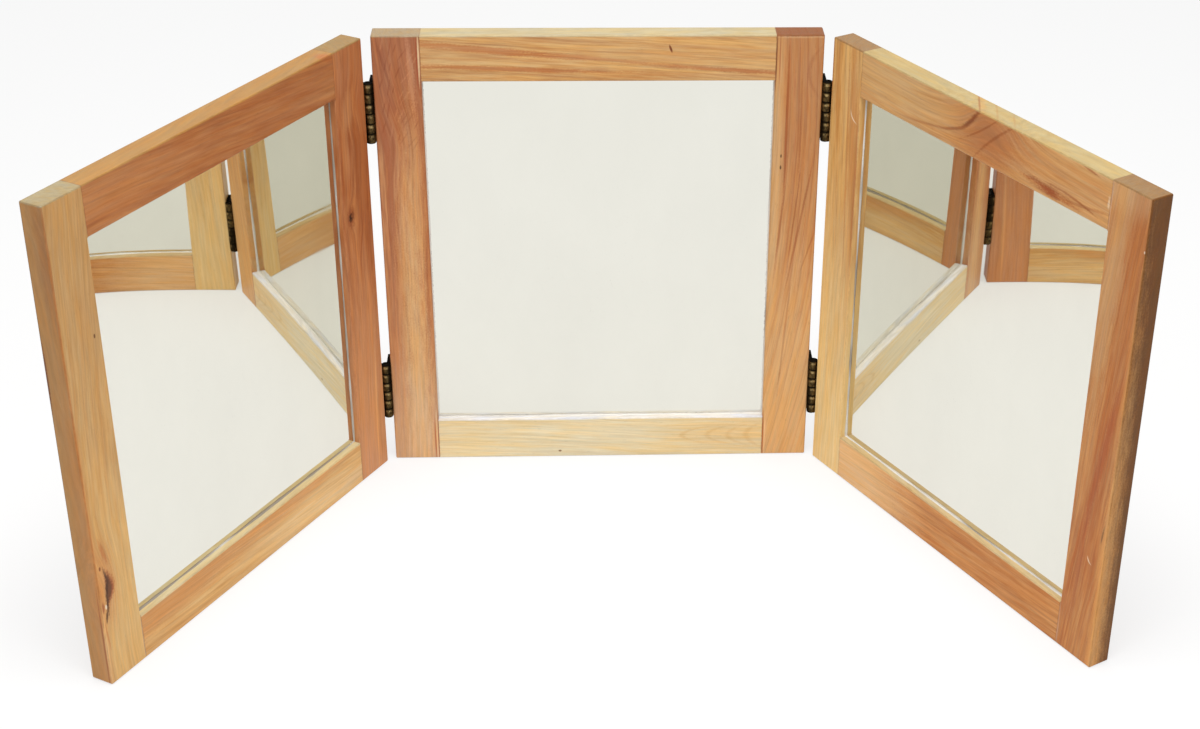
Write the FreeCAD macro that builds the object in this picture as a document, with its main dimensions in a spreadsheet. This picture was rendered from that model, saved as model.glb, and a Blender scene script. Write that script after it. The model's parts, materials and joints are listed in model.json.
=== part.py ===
import FreeCAD, Part
import os

import Sketcher

# Trifold tabletop mirror: three equal softwood frames, hinged side by side.
# Each frame is two full-height stiles and two rails, dowelled at the corners, with a
# mirror pane and a backing board held in a rebate at the back by flat steel points.
# The hinge barrels stand at the front of the frames, so both wings fold forward.
# Millimetres. +Z is up, the front faces -Y and the origin is the middle of the
# underside of the centre frame's bottom rail. The wings stand part folded.

BEADS_PER_KNUCKLE = 3
DOWELS_PER_JOINT = 2
SCREWS_PER_LEAF = 3
POINTS_PER_SIDE = 2

# Driving dimensions, in millimetres and degrees
DIMENSIONS = {
    # one frame
    "panel_width": 356.0,
    "panel_height": 386.0,
    "board_thickness": 19.0,
    "stile_width": 38.0,
    "rail_width": 38.0,
    "outer_round": 1.2,
    "inner_ease": 0.8,
    "lip_thickness": 6.3,
    "rebate_width": 9.5,
    # how far each wing is swung forward of flat
    "wing_angle": 60.0,
    # the pane and what holds it in the rebate
    "mirror_thickness": 3.0,
    "backing_thickness": 3.0,
    "pane_clearance": 1.0,
    "point_length": 15.0,
    "point_breadth": 5.0,
    "point_thickness": 0.6,
    "point_tip": 3.0,
    "point_bite": 6.0,
    "point_pitch": 170.0,
    "slot_clearance": 0.05,
    # corner dowels
    "dowel_diameter": 6.0,
    "dowel_length": 30.0,
    "dowel_chamfer": 0.8,
    "dowel_pitch": 12.0,
    "dowel_end_gap": 1.0,
    "glue_clearance": 0.05,
    # butt hinges
    "hinge_height": 50.8,
    "lower_hinge_height": 69.0,
    "upper_hinge_drop": 63.5,
    "pin_set_out": 1.0,
    "leaf_reach": 19.0,
    "leaf_thickness": 3.2,
    "leaf_corner": 2.0,
    "leaf_cutback": 0.6,
    "barrel_diameter": 7.6,
    "bead_shoulder": 0.5,
    "knuckle_gap": 0.3,
    "pin_diameter": 4.0,
    "pin_recess": 0.4,
    "running_clearance": 0.05,
    # hinge screws
    "screw_length": 16.0,
    "screw_shank": 2.8,
    "screw_tip": 3.5,
    "screw_head": 5.4,
    "screw_rim": 0.2,
    "screw_pitch": 16.5,
    "screw_line": 11.5,
    "screw_clearance": 0.1,
    "driver_cross": 3.0,
    "driver_blade": 0.8,
    "driver_depth": 1.0,
}

doc = FreeCAD.newDocument("trifold_mirror")
sheet = doc.addObject("Spreadsheet::Sheet", "dims")
for row, (alias, number) in enumerate(DIMENSIONS.items(), start=1):
    sheet.set(f"A{row}", alias)
    sheet.set(f"B{row}", str(number))
    sheet.setAlias(f"B{row}", alias)
doc.recompute()

# Sizes that follow from the driving dimensions
RAIL_LENGTH = "(dims.panel_width - 2 * dims.stile_width)"
STILE_SHOULDER = "(dims.stile_width - dims.rebate_width)"
RAIL_SHOULDER = "(dims.rail_width - dims.rebate_width)"
BACKING_FRONT = "(dims.lip_thickness + dims.mirror_thickness)"
BACKING_BACK = f"({BACKING_FRONT} + dims.backing_thickness)"
PANE_WIDTH = f"(dims.panel_width - 2 * ({STILE_SHOULDER} + dims.pane_clearance))"
PANE_HEIGHT = f"(dims.panel_height - 2 * ({RAIL_SHOULDER} + dims.pane_clearance))"
BARREL_RADIUS = "(dims.barrel_diameter / 2)"
HALF_GAP = "(dims.knuckle_gap / 2)"
HALF_HINGE = "(dims.hinge_height / 2)"
SHANK_RADIUS = "(dims.screw_shank / 2)"
HEAD_RADIUS = "(dims.screw_head / 2)"

SAME_PLACE = 0.001
Y_AXIS = FreeCAD.Vector(0, 1, 0)
Z_AXIS = FreeCAD.Vector(0, 0, 1)
HALF_TURN_ABOUT_Y = FreeCAD.Rotation(Y_AXIS, 180)


def size(expression):
    """The number that an expression on the sheet's cells comes to."""
    return float(sheet.evalExpression(expression))


def place(x=0.0, y=0.0, z=0.0, turn=None):
    """A placement from three coordinates and a rotation."""
    return FreeCAD.Placement(FreeCAD.Vector(x, y, z), turn or FreeCAD.Rotation())


def spaced(count, pitch):
    """Expressions for the offsets of count things, a pitch apart, about their middle."""
    return [f"({index - (count - 1) / 2} * {pitch})" for index in range(count)]


# Sketches whose points are tied to the sheet

def sketch_on(body, name, role, offset="0"):
    """A new sketch on one of the body's own origin planes, moved along the plane's normal."""
    plane = next(item for item in body.Origin.OriginFeatures if item.Role == role)
    sketch = body.newObject("Sketcher::SketchObject", name)
    sketch.AttachmentSupport = [(plane, "")]
    sketch.MapMode = "FlatFace"
    sketch.setExpression("AttachmentOffset.Base.z", offset)
    return sketch


def tie(sketch, kind, ends, number, expression):
    """A dimension in the sketch that follows an expression."""
    index = sketch.addConstraint(Sketcher.Constraint(kind, *ends, number))
    name = f"{kind}_{index}"
    sketch.renameConstraint(index, name)
    sketch.setExpression(f"Constraints.{name}", expression)


def tie_point(sketch, geometry, position, corner):
    """Fix a point of the sketch at a pair of expressions measured from the sketch's origin."""
    for kind, axis, expression in zip(("DistanceX", "DistanceY"), (-2, -1), corner):
        number = size(expression)
        if number == 0:
            sketch.addConstraint(Sketcher.Constraint("PointOnObject", geometry, position, axis))
        else:
            tie(sketch, kind, (-1, 1, geometry, position), number, expression)


def draw_outline(sketch, corners, arcs=None):
    """A closed outline, anticlockwise through corners given as pairs of expressions.

    arcs holds, for the number of the corner where an arc starts, the expressions of the
    arc's centre and radius. Every other side is a straight line.
    """
    arcs = arcs or {}
    points = [FreeCAD.Vector(size(x), size(y), 0) for x, y in corners]
    sides = []
    for number, start in enumerate(points):
        end = points[(number + 1) % len(points)]
        if number in arcs:
            centre_x, centre_y, radius = arcs[number]
            centre = FreeCAD.Vector(size(centre_x), size(centre_y), 0)
            circle = Part.Circle(centre, Z_AXIS, size(radius))
            curve = Part.ArcOfCircle(circle, circle.parameter(start), circle.parameter(end))
        else:
            curve = Part.LineSegment(start, end)
        sides.append(sketch.addGeometry(curve, False))
    for number, side in enumerate(sides):
        following = sides[(number + 1) % len(sides)]
        sketch.addConstraint(Sketcher.Constraint("Coincident", side, 2, following, 1))
        tie_point(sketch, side, 1, corners[number])
        if number in arcs:
            radius = arcs[number][2]
            tie(sketch, "Radius", (side,), size(radius), radius)


def draw_rectangle(sketch, left, low, right, high):
    """An outline with its sides along the sketch's axes."""
    draw_outline(sketch, [(left, low), (right, low), (right, high), (left, high)])


def draw_circle(sketch, radius, centre):
    """A circle about a centre given as a pair of expressions."""
    middle = FreeCAD.Vector(size(centre[0]), size(centre[1]), 0)
    circle = sketch.addGeometry(Part.Circle(middle, Z_AXIS, size(radius)), False)
    tie_point(sketch, circle, 3, centre)
    tie(sketch, "Radius", (circle,), size(radius), radius)


# Features on a body

def new_body(label):
    """An empty body whose label names the piece."""
    body = doc.addObject("PartDesign::Body", label)
    body.Label = label
    return body


def pad(body, sketch, length):
    """Raise a sketch along its normal."""
    feature = body.newObject("PartDesign::Pad", f"{sketch.Name}_pad")
    feature.Profile = sketch
    feature.setExpression("Length", length)
    doc.recompute()
    return feature


def revolve(body, sketch):
    """Turn a sketch once round its own vertical axis."""
    feature = body.newObject("PartDesign::Revolution", f"{sketch.Name}_turned")
    feature.Profile = sketch
    feature.ReferenceAxis = (sketch, ["V_Axis"])
    feature.Angle = 360
    doc.recompute()
    return feature


def pocket(body, sketch, depth=None, along_normal=False):
    """Cut a sketch into the body, through everything if no depth is given."""
    before = body.Shape.Volume
    feature = body.newObject("PartDesign::Pocket", f"{sketch.Name}_cut")
    feature.Profile = sketch
    feature.Reversed = along_normal
    if depth is None:
        feature.Type = "ThroughAll"
    else:
        feature.setExpression("Length", depth)
    doc.recompute()
    if body.Shape.Volume >= before:
        raise RuntimeError(f"{feature.Name} removes nothing from {body.Label}")
    return feature


def edges_where(feature, test):
    """The names of a feature's edges that pass a test."""
    return [f"Edge{number}" for number, edge in enumerate(feature.Shape.Edges, start=1) if test(edge)]


def along_x(edge):
    """Whether an edge runs along the body's x."""
    box = edge.BoundBox
    return box.XLength > box.YLength + box.ZLength


def round_edges(body, feature, edges, radius):
    """Round the named edges of a feature."""
    fillet = body.newObject("PartDesign::Fillet", f"{feature.Name}_rounded")
    fillet.Base = (feature, edges)
    fillet.setExpression("Radius", radius)
    doc.recompute()
    return fillet


def chamfer_edges(body, feature, edges, breadth):
    """Take the named edges of a feature off at 45 degrees."""
    chamfer = body.newObject("PartDesign::Chamfer", f"{feature.Name}_chamfered")
    chamfer.Base = (feature, edges)
    chamfer.setExpression("Size", breadth)
    doc.recompute()
    return chamfer


# Boards of a frame

def dowel_heights():
    """Heights of a corner's dowels above the rail's outer edge, in the wood clear of the rebate."""
    return [f"({RAIL_SHOULDER} / 2 + {offset})" for offset in spaced(DOWELS_PER_JOINT, "dims.dowel_pitch")]


DOWEL_HOLE_RADIUS = "(dims.dowel_diameter / 2 + dims.glue_clearance)"
DOWEL_HOLE_DEPTH = "(dims.dowel_length / 2 + dims.dowel_end_gap)"
BOARD_MIDDLE = "(dims.board_thickness / 2)"
SLOT_FRONT = f"({BACKING_BACK} - dims.slot_clearance)"
SLOT_BACK = f"({BACKING_BACK} + dims.point_thickness + dims.slot_clearance)"
SLOT_HALF = "(dims.point_breadth / 2 + dims.slot_clearance)"
SLOT_DEPTH = "(dims.point_bite + dims.slot_clearance)"


def make_stile(label, hinge_heights=()):
    """An upright of a frame: x from its outer to its inner edge, y from front to back, z up.

    hinge_heights are the heights of the middles of the hinges on its outer edge.
    """
    body = new_body(label)
    section = sketch_on(body, f"{label}_section", "XY_Plane")
    draw_rectangle(section, "0", "0", "dims.stile_width", "dims.board_thickness")
    board = pad(body, section, "dims.panel_height")
    inner_edge = size("dims.stile_width")
    outer_edges = edges_where(board, lambda edge: inner_edge - edge.CenterOfMass.x > SAME_PLACE)
    round_edges(body, board, outer_edges, "dims.outer_round")

    ease = sketch_on(body, f"{label}_ease", "XY_Plane", "dims.rail_width")
    draw_outline(ease, [
        ("dims.stile_width - dims.inner_ease", "0"),
        ("dims.stile_width", "0"),
        ("dims.stile_width", "dims.inner_ease"),
    ])
    pocket(body, ease, "dims.panel_height - 2 * dims.rail_width", along_normal=True)

    rebate = sketch_on(body, f"{label}_rebate", "XZ_Plane", "-dims.lip_thickness")
    rebate_top = f"(dims.panel_height - {RAIL_SHOULDER})"
    draw_rectangle(rebate, STILE_SHOULDER, RAIL_SHOULDER, "dims.stile_width", rebate_top)
    pocket(body, rebate)

    dowels = sketch_on(body, f"{label}_dowel_holes", "YZ_Plane", "dims.stile_width")
    for height in dowel_heights():
        draw_circle(dowels, DOWEL_HOLE_RADIUS, (BOARD_MIDDLE, height))
        draw_circle(dowels, DOWEL_HOLE_RADIUS, (BOARD_MIDDLE, f"(dims.panel_height - {height})"))
    pocket(body, dowels, DOWEL_HOLE_DEPTH)

    slots = sketch_on(body, f"{label}_point_slots", "YZ_Plane", STILE_SHOULDER)
    for offset in spaced(POINTS_PER_SIDE, "dims.point_pitch"):
        middle = f"(dims.panel_height / 2 + {offset})"
        draw_rectangle(slots, SLOT_FRONT, f"{middle} - {SLOT_HALF}", SLOT_BACK, f"{middle} + {SLOT_HALF}")
    pocket(body, slots, SLOT_DEPTH)

    if hinge_heights:
        pilots = sketch_on(body, f"{label}_pilot_holes", "YZ_Plane")
        pilot_radius = f"({SHANK_RADIUS} + dims.screw_clearance)"
        pilot_line = "(dims.screw_line - dims.pin_set_out)"
        pilot_depth = "dims.screw_length - dims.leaf_thickness + dims.screw_clearance"
        for height in hinge_heights:
            for offset in spaced(SCREWS_PER_LEAF, "dims.screw_pitch"):
                draw_circle(pilots, pilot_radius, (pilot_line, f"({height} + {offset})"))
        pocket(body, pilots, pilot_depth, along_normal=True)
    return body


def make_rail(label):
    """A cross board: x along its length, y from front to back, z from its outer to its inner edge."""
    body = new_body(label)
    section = sketch_on(body, f"{label}_section", "YZ_Plane")
    draw_rectangle(section, "0", "0", "dims.board_thickness", "dims.rail_width")
    board = pad(body, section, RAIL_LENGTH)
    middle = board.Shape.CenterOfMass
    outer_edges = edges_where(board, lambda edge: along_x(edge) and edge.CenterOfMass.z < middle.z)
    rounded = round_edges(body, board, outer_edges, "dims.outer_round")
    inner_edges = edges_where(rounded, lambda edge: along_x(edge) and edge.CenterOfMass.z > middle.z)
    front_inner = [name for name in inner_edges if rounded.Shape.getElement(name).CenterOfMass.y < SAME_PLACE]
    chamfer_edges(body, rounded, front_inner, "dims.inner_ease")

    rebate = sketch_on(body, f"{label}_rebate", "XZ_Plane", "-dims.lip_thickness")
    draw_rectangle(rebate, "0", RAIL_SHOULDER, RAIL_LENGTH, "dims.rail_width")
    pocket(body, rebate)

    for end, offset, inward in (("left", "0", True), ("right", RAIL_LENGTH, False)):
        dowels = sketch_on(body, f"{label}_{end}_dowel_holes", "YZ_Plane", offset)
        for height in dowel_heights():
            draw_circle(dowels, DOWEL_HOLE_RADIUS, (BOARD_MIDDLE, height))
        pocket(body, dowels, DOWEL_HOLE_DEPTH, along_normal=inward)

    slots = sketch_on(body, f"{label}_point_slots", "XY_Plane", RAIL_SHOULDER)
    for offset in spaced(POINTS_PER_SIDE, "dims.point_pitch"):
        middle = f"({RAIL_LENGTH} / 2 + {offset})"
        draw_rectangle(slots, f"{middle} - {SLOT_HALF}", SLOT_FRONT, f"{middle} + {SLOT_HALF}", SLOT_BACK)
    pocket(body, slots, SLOT_DEPTH)
    return body


def make_sheet(label, thickness):
    """A pane or a backing board, cut to lie in the rebate."""
    board = doc.addObject("Part::Box", label)
    board.Label = label
    board.setExpression("Length", PANE_WIDTH)
    board.setExpression("Width", thickness)
    board.setExpression("Height", PANE_HEIGHT)
    return board


# Small pieces that are copied into groups

def make_dowel():
    """A round peg along x, its middle at the origin, with both ends chamfered."""
    body = new_body("dowel_pattern")
    section = sketch_on(body, "dowel_section", "YZ_Plane", "-dims.dowel_length / 2")
    draw_circle(section, "dims.dowel_diameter / 2", ("0", "0"))
    peg = pad(body, section, "dims.dowel_length")
    chamfer_edges(body, peg, edges_where(peg, lambda edge: edge.isClosed()), "dims.dowel_chamfer")
    return body


def make_point():
    """A flat steel strip along x, its blunt end at the origin and its tip in the wood."""
    body = new_body("point_pattern")
    half = "dims.point_breadth / 2"
    shoulder = "dims.point_length - dims.point_tip"
    section = sketch_on(body, "point_outline", "XZ_Plane", "-dims.point_thickness")
    draw_outline(section, [
        ("0", f"-{half}"),
        (shoulder, f"-{half}"),
        ("dims.point_length", "0"),
        (shoulder, half),
        ("0", half),
    ])
    pad(body, section, "dims.point_thickness")
    return body


def make_screw():
    """A countersunk wood screw along z, its tip at the origin, with a cross recess in its head."""
    body = new_body("screw_pattern")
    profile = sketch_on(body, "screw_profile", "XZ_Plane")
    head_foot = f"dims.screw_length - dims.screw_rim - ({HEAD_RADIUS} - {SHANK_RADIUS})"
    draw_outline(profile, [
        ("0", "0"),
        (SHANK_RADIUS, "dims.screw_tip"),
        (SHANK_RADIUS, head_foot),
        (HEAD_RADIUS, "dims.screw_length - dims.screw_rim"),
        (HEAD_RADIUS, "dims.screw_length"),
        ("0", "dims.screw_length"),
    ])
    revolve(body, profile)
    cross = sketch_on(body, "screw_recess", "XY_Plane", "dims.screw_length")
    reach = "dims.driver_cross / 2"
    blade = "dims.driver_blade / 2"
    draw_outline(cross, [
        (blade, blade), (blade, reach), (f"-{blade}", reach), (f"-{blade}", blade),
        (f"-{reach}", blade), (f"-{reach}", f"-{blade}"), (f"-{blade}", f"-{blade}"),
        (f"-{blade}", f"-{reach}"), (blade, f"-{reach}"), (blade, f"-{blade}"),
        (reach, f"-{blade}"), (reach, blade),
    ])
    pocket(body, cross, "dims.driver_depth")
    return body


def make_group(label, pattern, placements):
    """Copies of one small piece, as separate solids of one node."""
    group = doc.addObject("Part::Feature", label)
    group.Label = label
    copies = []
    for placement in placements:
        copy = pattern.Shape.copy()
        copy.Placement = placement
        copies.append(copy)
    group.Shape = Part.makeCompound(copies)
    return group


# Hinges

def make_leaf(label):
    """Half a butt hinge for a stile on the left of the pin: the pin's axis is z, y goes back.

    The plate lies against the stile's edge and carries the upper knuckle, and is cut back
    where the other leaf's knuckle turns. Turned half round about y, it is the other half.
    """
    body = new_body(label)
    bead = f"(({HALF_HINGE} - {HALF_GAP}) / {BEADS_PER_KNUCKLE})"
    neck = f"({BARREL_RADIUS} - dims.bead_shoulder)"
    corners = [("0", HALF_GAP)]
    arcs = {}
    for number in range(BEADS_PER_KNUCKLE):
        low = f"({HALF_GAP} + {number} * {bead})"
        high = f"({HALF_GAP} + {number + 1} * {bead})"
        arcs[len(corners)] = (neck, f"{low} + dims.bead_shoulder", "dims.bead_shoulder")
        corners.append((neck, low))
        corners.append((BARREL_RADIUS, f"{low} + dims.bead_shoulder"))
        arcs[len(corners)] = (neck, f"{high} - dims.bead_shoulder", "dims.bead_shoulder")
        corners.append((BARREL_RADIUS, f"{high} - dims.bead_shoulder"))
    corners.append((neck, HALF_HINGE))
    corners.append(("0", HALF_HINGE))
    profile = sketch_on(body, f"{label}_knuckle", "XZ_Plane")
    draw_outline(profile, corners, arcs)
    revolve(body, profile)

    cut_line = f"({BARREL_RADIUS} + dims.leaf_cutback)"
    outline = sketch_on(body, f"{label}_plate", "YZ_Plane", f"-{BARREL_RADIUS}")
    draw_outline(outline, [
        ("0", HALF_GAP),
        (cut_line, HALF_GAP),
        (cut_line, f"-{HALF_HINGE}"),
        ("dims.leaf_reach", f"-{HALF_HINGE}"),
        ("dims.leaf_reach", HALF_HINGE),
        ("0", HALF_HINGE),
    ])
    plate = pad(body, outline, "dims.leaf_thickness")
    back_line = size("dims.leaf_reach - dims.leaf_corner")
    back_corners = edges_where(plate, lambda edge: along_x(edge) and edge.BoundBox.YMin > back_line)
    round_edges(body, plate, back_corners, "dims.leaf_corner")

    bore = sketch_on(body, f"{label}_bore", "XY_Plane")
    draw_circle(bore, "dims.pin_diameter / 2 + dims.running_clearance", ("0", "0"))
    pocket(body, bore, along_normal=True)

    holes = sketch_on(body, f"{label}_holes", "YZ_Plane", f"dims.leaf_thickness - {BARREL_RADIUS}")
    for offset in spaced(SCREWS_PER_LEAF, "dims.screw_pitch"):
        draw_circle(holes, f"{SHANK_RADIUS} + dims.screw_clearance", ("dims.screw_line", offset))
    doc.recompute()
    before = body.Shape.Volume
    sunk_diameter = "dims.screw_head + 2 * (dims.screw_rim + dims.screw_clearance)"
    countersunk = body.newObject("PartDesign::Hole", f"{label}_countersunk_holes")
    countersunk.Profile = holes
    countersunk.DepthType = "ThroughAll"
    countersunk.setExpression("Diameter", "dims.screw_shank + 2 * dims.screw_clearance")
    countersunk.HoleCutType = "Countersink"
    countersunk.HoleCutCustomValues = True
    countersunk.setExpression("HoleCutDiameter", sunk_diameter)
    countersunk.HoleCutCountersinkAngle = 90
    doc.recompute()
    if body.Shape.Volume >= before:
        raise RuntimeError(f"the screw holes remove nothing from {label}")
    return body


def make_pin(label):
    """The hinge pin, along z about the origin, set just inside both ends of the barrel."""
    pin = doc.addObject("Part::Cylinder", label)
    pin.Label = label
    pin.setExpression("Radius", "dims.pin_diameter / 2")
    pin.setExpression("Height", "dims.hinge_height - 2 * dims.pin_recess")
    return pin


# Where the frames and the hinge pins stand

panel_width = size("dims.panel_width")
panel_height = size("dims.panel_height")
half_width = panel_width / 2
half_thickness = size(BOARD_MIDDLE)
edge_gap = size(BARREL_RADIUS)
pin_set_out = size("dims.pin_set_out")
pin_x = half_width + edge_gap
pin_y = -half_thickness - pin_set_out
fold_left = FreeCAD.Rotation(Z_AXIS, size("dims.wing_angle"))
fold_right = FreeCAD.Rotation(Z_AXIS, -size("dims.wing_angle"))

PANELS = {
    "left_wing": place(-pin_x, pin_y, turn=fold_left) * place(-edge_gap - panel_width, pin_set_out),
    "centre": place(-half_width, -half_thickness),
    "right_wing": place(pin_x, pin_y, turn=fold_right) * place(edge_gap, pin_set_out),
}

# The names of each frame's left and right stiles, and whether hinges are screwed to them
STILES = {
    "left_wing": (("outer_stile", False), ("hinge_stile", True)),
    "centre": (("left_stile", True), ("right_stile", True)),
    "right_wing": (("hinge_stile", True), ("outer_stile", False)),
}

LOWER_HINGE = "dims.lower_hinge_height"
UPPER_HINGE = "(dims.panel_height - dims.upper_hinge_drop)"
HINGE_HEIGHTS = {"lower": LOWER_HINGE, "upper": UPPER_HINGE}

dowel_pattern = make_dowel()
point_pattern = make_point()
screw_pattern = make_screw()
nodes = []


def add_node(piece, placement):
    """Stand a piece in its place and list it for writing."""
    piece.Placement = placement
    nodes.append(piece)


# Frames, each drawn flat with its lower left front corner at the origin and then placed

def dowel_places():
    """Both ends of both rails, two dowels at each."""
    places = []
    for joint in (size("dims.stile_width"), panel_width - size("dims.stile_width")):
        for height in dowel_heights():
            places.append(place(joint, half_thickness, size(height)))
            places.append(place(joint, half_thickness, panel_height - size(height)))
    return places


def point_places():
    """Two points on each side of the backing, tips in the rebate's wall."""
    depth = size(BACKING_BACK)
    stand_out = size("dims.point_length - dims.point_bite")
    side_wall = size(STILE_SHOULDER)
    end_wall = size(RAIL_SHOULDER)
    places = []
    for offset in spaced(POINTS_PER_SIDE, "dims.point_pitch"):
        height = panel_height / 2 + size(offset)
        across = half_width + size(offset)
        right = panel_width - side_wall - stand_out
        top = panel_height - end_wall - stand_out
        places.append(place(right, depth, height))
        places.append(place(panel_width - right, depth, height, HALF_TURN_ABOUT_Y))
        places.append(place(across, depth, top, FreeCAD.Rotation(Y_AXIS, -90)))
        places.append(place(across, depth, panel_height - top, FreeCAD.Rotation(Y_AXIS, 90)))
    return places


for panel, panel_place in PANELS.items():
    (left_name, left_hinged), (right_name, right_hinged) = STILES[panel]
    right_side = place(panel_width, 0, panel_height, HALF_TURN_ABOUT_Y)
    heights_up = list(HINGE_HEIGHTS.values())
    heights_down = [f"(dims.panel_height - {height})" for height in heights_up]
    left_stile = make_stile(f"{panel}_{left_name}", heights_up if left_hinged else ())
    add_node(left_stile, panel_place)
    right_stile = make_stile(f"{panel}_{right_name}", heights_down if right_hinged else ())
    add_node(right_stile, panel_place * right_side)

    rail_end = size("dims.stile_width")
    add_node(make_rail(f"{panel}_bottom_rail"), panel_place * place(rail_end))
    top_side = place(panel_width - rail_end, 0, panel_height, HALF_TURN_ABOUT_Y)
    add_node(make_rail(f"{panel}_top_rail"), panel_place * top_side)
    add_node(make_group(f"{panel}_dowels", dowel_pattern, dowel_places()), panel_place)

    pane_x = size(f"{STILE_SHOULDER} + dims.pane_clearance")
    pane_z = size(RAIL_SHOULDER)
    mirror = make_sheet(f"{panel}_mirror", "dims.mirror_thickness")
    add_node(mirror, panel_place * place(pane_x, size("dims.lip_thickness"), pane_z))
    backing = make_sheet(f"{panel}_backing_board", "dims.backing_thickness")
    add_node(backing, panel_place * place(pane_x, size(BACKING_FRONT), pane_z))
    add_node(make_group(f"{panel}_glazing_points", point_pattern, point_places()), panel_place)

# Hinges: on every one the left leaf has the upper knuckle and the right leaf the lower one

leaf_screws = []
head_face = size(f"dims.leaf_thickness - {BARREL_RADIUS}")
for offset in spaced(SCREWS_PER_LEAF, "dims.screw_pitch"):
    tip = place(head_face - size("dims.screw_length"), size("dims.screw_line"), size(offset))
    leaf_screws.append(tip * place(turn=FreeCAD.Rotation(Y_AXIS, 90)))

for side, x, left_turn, right_turn, left_owner, right_owner in (
    ("left", -pin_x, fold_left, FreeCAD.Rotation(), "wing", "centre"),
    ("right", pin_x, FreeCAD.Rotation(), fold_right, "centre", "wing"),
):
    screw_places = {"wing": [], "centre": []}
    for level, height in HINGE_HEIGHTS.items():
        hinge = f"{side}_{level}_hinge"
        axis = place(x, pin_y, size(height))
        left_leaf = axis * place(turn=left_turn)
        right_leaf = axis * place(turn=right_turn) * place(turn=HALF_TURN_ABOUT_Y)
        add_node(make_leaf(f"{hinge}_{left_owner}_leaf"), left_leaf)
        add_node(make_leaf(f"{hinge}_{right_owner}_leaf"), right_leaf)
        pin_foot = place(z=size(f"dims.pin_recess - {HALF_HINGE}"))
        add_node(make_pin(f"{hinge}_pin"), axis * pin_foot)
        screw_places[left_owner] += [left_leaf * screw for screw in leaf_screws]
        screw_places[right_owner] += [right_leaf * screw for screw in leaf_screws]
    for owner, places in screw_places.items():
        add_node(make_group(f"{side}_{owner}_hinge_screws", screw_pattern, places), place())

# Every object is tested before anything is written

doc.recompute()
for item in doc.Objects:
    if "Invalid" in item.State or "Error" in item.State:
        raise RuntimeError(f"{item.Name} failed: {item.State}")
for piece in nodes:
    if piece.Shape.isNull() or not piece.Shape.isValid():
        raise RuntimeError(f"{piece.Label} has no valid shape")

os.makedirs("parts", exist_ok=True)
for piece in nodes:
    piece.Shape.exportStep(os.path.join("parts", f"{piece.Label}.step"))
print(f"{len(nodes)} pieces written")
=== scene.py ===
import json
import math

import bpy
import numpy as np
from mathutils import Matrix, Vector


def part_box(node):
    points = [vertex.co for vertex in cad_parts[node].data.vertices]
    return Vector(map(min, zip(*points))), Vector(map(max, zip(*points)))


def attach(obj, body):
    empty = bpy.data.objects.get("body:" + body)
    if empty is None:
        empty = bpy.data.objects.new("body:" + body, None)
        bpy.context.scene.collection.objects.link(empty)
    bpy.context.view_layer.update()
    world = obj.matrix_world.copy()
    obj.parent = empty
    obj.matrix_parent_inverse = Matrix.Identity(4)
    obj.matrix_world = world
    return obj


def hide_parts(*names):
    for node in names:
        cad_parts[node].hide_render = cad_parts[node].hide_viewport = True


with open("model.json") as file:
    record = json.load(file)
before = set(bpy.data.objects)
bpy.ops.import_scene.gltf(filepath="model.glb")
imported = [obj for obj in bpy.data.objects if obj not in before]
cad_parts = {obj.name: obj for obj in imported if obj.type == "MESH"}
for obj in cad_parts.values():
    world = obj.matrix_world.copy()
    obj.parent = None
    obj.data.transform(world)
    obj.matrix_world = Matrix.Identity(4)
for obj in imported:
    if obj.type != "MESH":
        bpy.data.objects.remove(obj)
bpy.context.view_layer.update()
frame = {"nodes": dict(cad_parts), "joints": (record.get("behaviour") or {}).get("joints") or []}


# Left wing's boards: two upright stiles with two rails butted and dowelled between them.
# Like all twelve boards they are planed timber, each sawn from its own plank, with the outer
# edges eased and a thin satin varnish that lets rings, streaks and small knots show.

def mm(*sizes):
    """Sizes in millimetres, as a tuple in metres."""
    return tuple(size * 0.001 for size in sizes)


stile_low, stile_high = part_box("centre_left_stile")
STILE_WIDTH, BOARD_THICKNESS, PANEL_HEIGHT = stile_high - stile_low
PANEL_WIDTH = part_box("centre_right_stile")[1].x - stile_low.x
RAIL_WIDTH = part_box("centre_bottom_rail")[1].z
RAIL_LENGTH = PANEL_WIDTH - 2 * STILE_WIDTH
WING_TURN = math.radians(60)

pins = {joint["child"]: Vector(joint["pos_m"][:2]).to_3d() for joint in frame["joints"]}
PIN_SET_OFF = pins["right_wing"].x - PANEL_WIDTH / 2
PIN_SET_OUT = stile_low.y - pins["right_wing"].y

panel_turns = {"left_wing": WING_TURN, "centre": 0.0, "right_wing": -WING_TURN}
panel_bodies = {"left_wing": "left_wing", "centre": "centre_panel", "right_wing": "right_wing"}
panel_corners = {
    "left_wing": pins["left_wing"]
    + Matrix.Rotation(WING_TURN, 3, "Z") @ Vector((-PIN_SET_OFF - PANEL_WIDTH, PIN_SET_OUT, 0)),
    "centre": Vector((stile_low.x, stile_low.y, 0)),
    "right_wing": pins["right_wing"]
    + Matrix.Rotation(-WING_TURN, 3, "Z") @ Vector((PIN_SET_OFF, PIN_SET_OUT, 0)),
}


def on_panel(panel, right, back, up):
    """A point of a frame, measured right, back and up from its lower left front corner."""
    turn = Matrix.Rotation(panel_turns[panel], 3, "Z")
    return panel_corners[panel] + turn @ Vector((right, back, up))


def colour(red, green, blue):
    """A screen colour on the 0 to 255 scale, as the linear colour that a shader takes."""
    share = np.array([red, green, blue]) / 255
    linear = np.where(share <= 0.04045, share / 12.92, ((share + 0.055) / 1.055) ** 2.4)
    return (*linear.tolist(), 1.0)


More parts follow.
